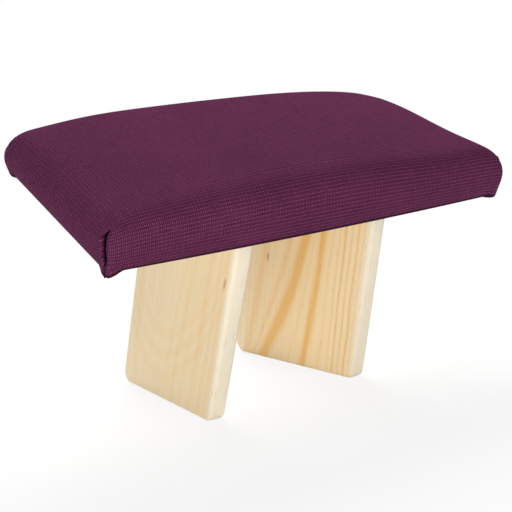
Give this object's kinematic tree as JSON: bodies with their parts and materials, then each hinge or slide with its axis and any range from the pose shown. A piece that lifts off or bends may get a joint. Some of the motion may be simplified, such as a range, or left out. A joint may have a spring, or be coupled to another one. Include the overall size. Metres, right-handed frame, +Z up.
{
  "type": "folding meditation bench",
  "caption": "Kneeling bench with a padded, forward-tilting cloth seat on two pine board legs that swing outward on butt hinges to fold flat.",
  "frame": {"origin": "on the floor under the middle of the whole bench's outline", "axes": "+Z up; +X along the seat, to the right as seen from the front; -Y is the low front edge of the seat, which faces the picture's camera"},
  "size_m": [0.4512, 0.3184, 0.3085],
  "materials": {
    "aubergine_canvas": "coarse plain-woven canvas, matt, deep aubergine",
    "foam": "open-cell upholstery foam",
    "seat_board_wood": "plain plywood, unfinished",
    "pine": "clear pine, sanded, satin",
    "hinge_brass": "brass-plated steel, lightly brushed"
  },
  "bodies": {
    "seat": {"seat_board": "seat_board_wood", "foam_pad": "foam", "fabric_cover": "aubergine_canvas", "left_front_hinge_seat_leaf": "hinge_brass", "left_front_hinge_seat_leaf_screw_1": "hinge_brass", "left_front_hinge_seat_leaf_screw_2": "hinge_brass", "left_front_hinge_seat_leaf_screw_3": "hinge_brass", "left_front_hinge_pin": "hinge_brass", "left_rear_hinge_seat_leaf": "hinge_brass", "left_rear_hinge_seat_leaf_screw_1": "hinge_brass", "left_rear_hinge_seat_leaf_screw_2": "hinge_brass", "left_rear_hinge_seat_leaf_screw_3": "hinge_brass", "left_rear_hinge_pin": "hinge_brass", "right_front_hinge_seat_leaf": "hinge_brass", "right_front_hinge_seat_leaf_screw_1": "hinge_brass", "right_front_hinge_seat_leaf_screw_2": "hinge_brass", "right_front_hinge_seat_leaf_screw_3": "hinge_brass", "right_front_hinge_pin": "hinge_brass", "right_rear_hinge_seat_leaf": "hinge_brass", "right_rear_hinge_seat_leaf_screw_1": "hinge_brass", "right_rear_hinge_seat_leaf_screw_2": "hinge_brass", "right_rear_hinge_seat_leaf_screw_3": "hinge_brass", "right_rear_hinge_pin": "hinge_brass"},
    "left_leg": {"left_leg": "pine", "left_front_hinge_leg_leaf": "hinge_brass", "left_front_hinge_leg_leaf_screw_1": "hinge_brass", "left_front_hinge_leg_leaf_screw_2": "hinge_brass", "left_front_hinge_leg_leaf_screw_3": "hinge_brass", "left_rear_hinge_leg_leaf": "hinge_brass", "left_rear_hinge_leg_leaf_screw_1": "hinge_brass", "left_rear_hinge_leg_leaf_screw_2": "hinge_brass", "left_rear_hinge_leg_leaf_screw_3": "hinge_brass"},
    "right_leg": {"right_leg": "pine", "right_front_hinge_leg_leaf": "hinge_brass", "right_front_hinge_leg_leaf_screw_1": "hinge_brass", "right_front_hinge_leg_leaf_screw_2": "hinge_brass", "right_front_hinge_leg_leaf_screw_3": "hinge_brass", "right_rear_hinge_leg_leaf": "hinge_brass", "right_rear_hinge_leg_leaf_screw_1": "hinge_brass", "right_rear_hinge_leg_leaf_screw_2": "hinge_brass", "right_rear_hinge_leg_leaf_screw_3": "hinge_brass"}
  },
  "joints": [
    {"name": "left_leg_fold", "type": "hinge", "parent": "seat", "child": "left_leg", "pos_m": [-0.0823, -0.03944, 0.21808], "axis": [0.0785, 0.921, 0.3815], "range_deg": [0, 87]},
    {"name": "right_leg_fold", "type": "hinge", "parent": "seat", "child": "right_leg", "pos_m": [0.0823, -0.03944, 0.21808], "axis": [0.0785, -0.921, -0.3815], "range_deg": [0, 87]}
  ]
}
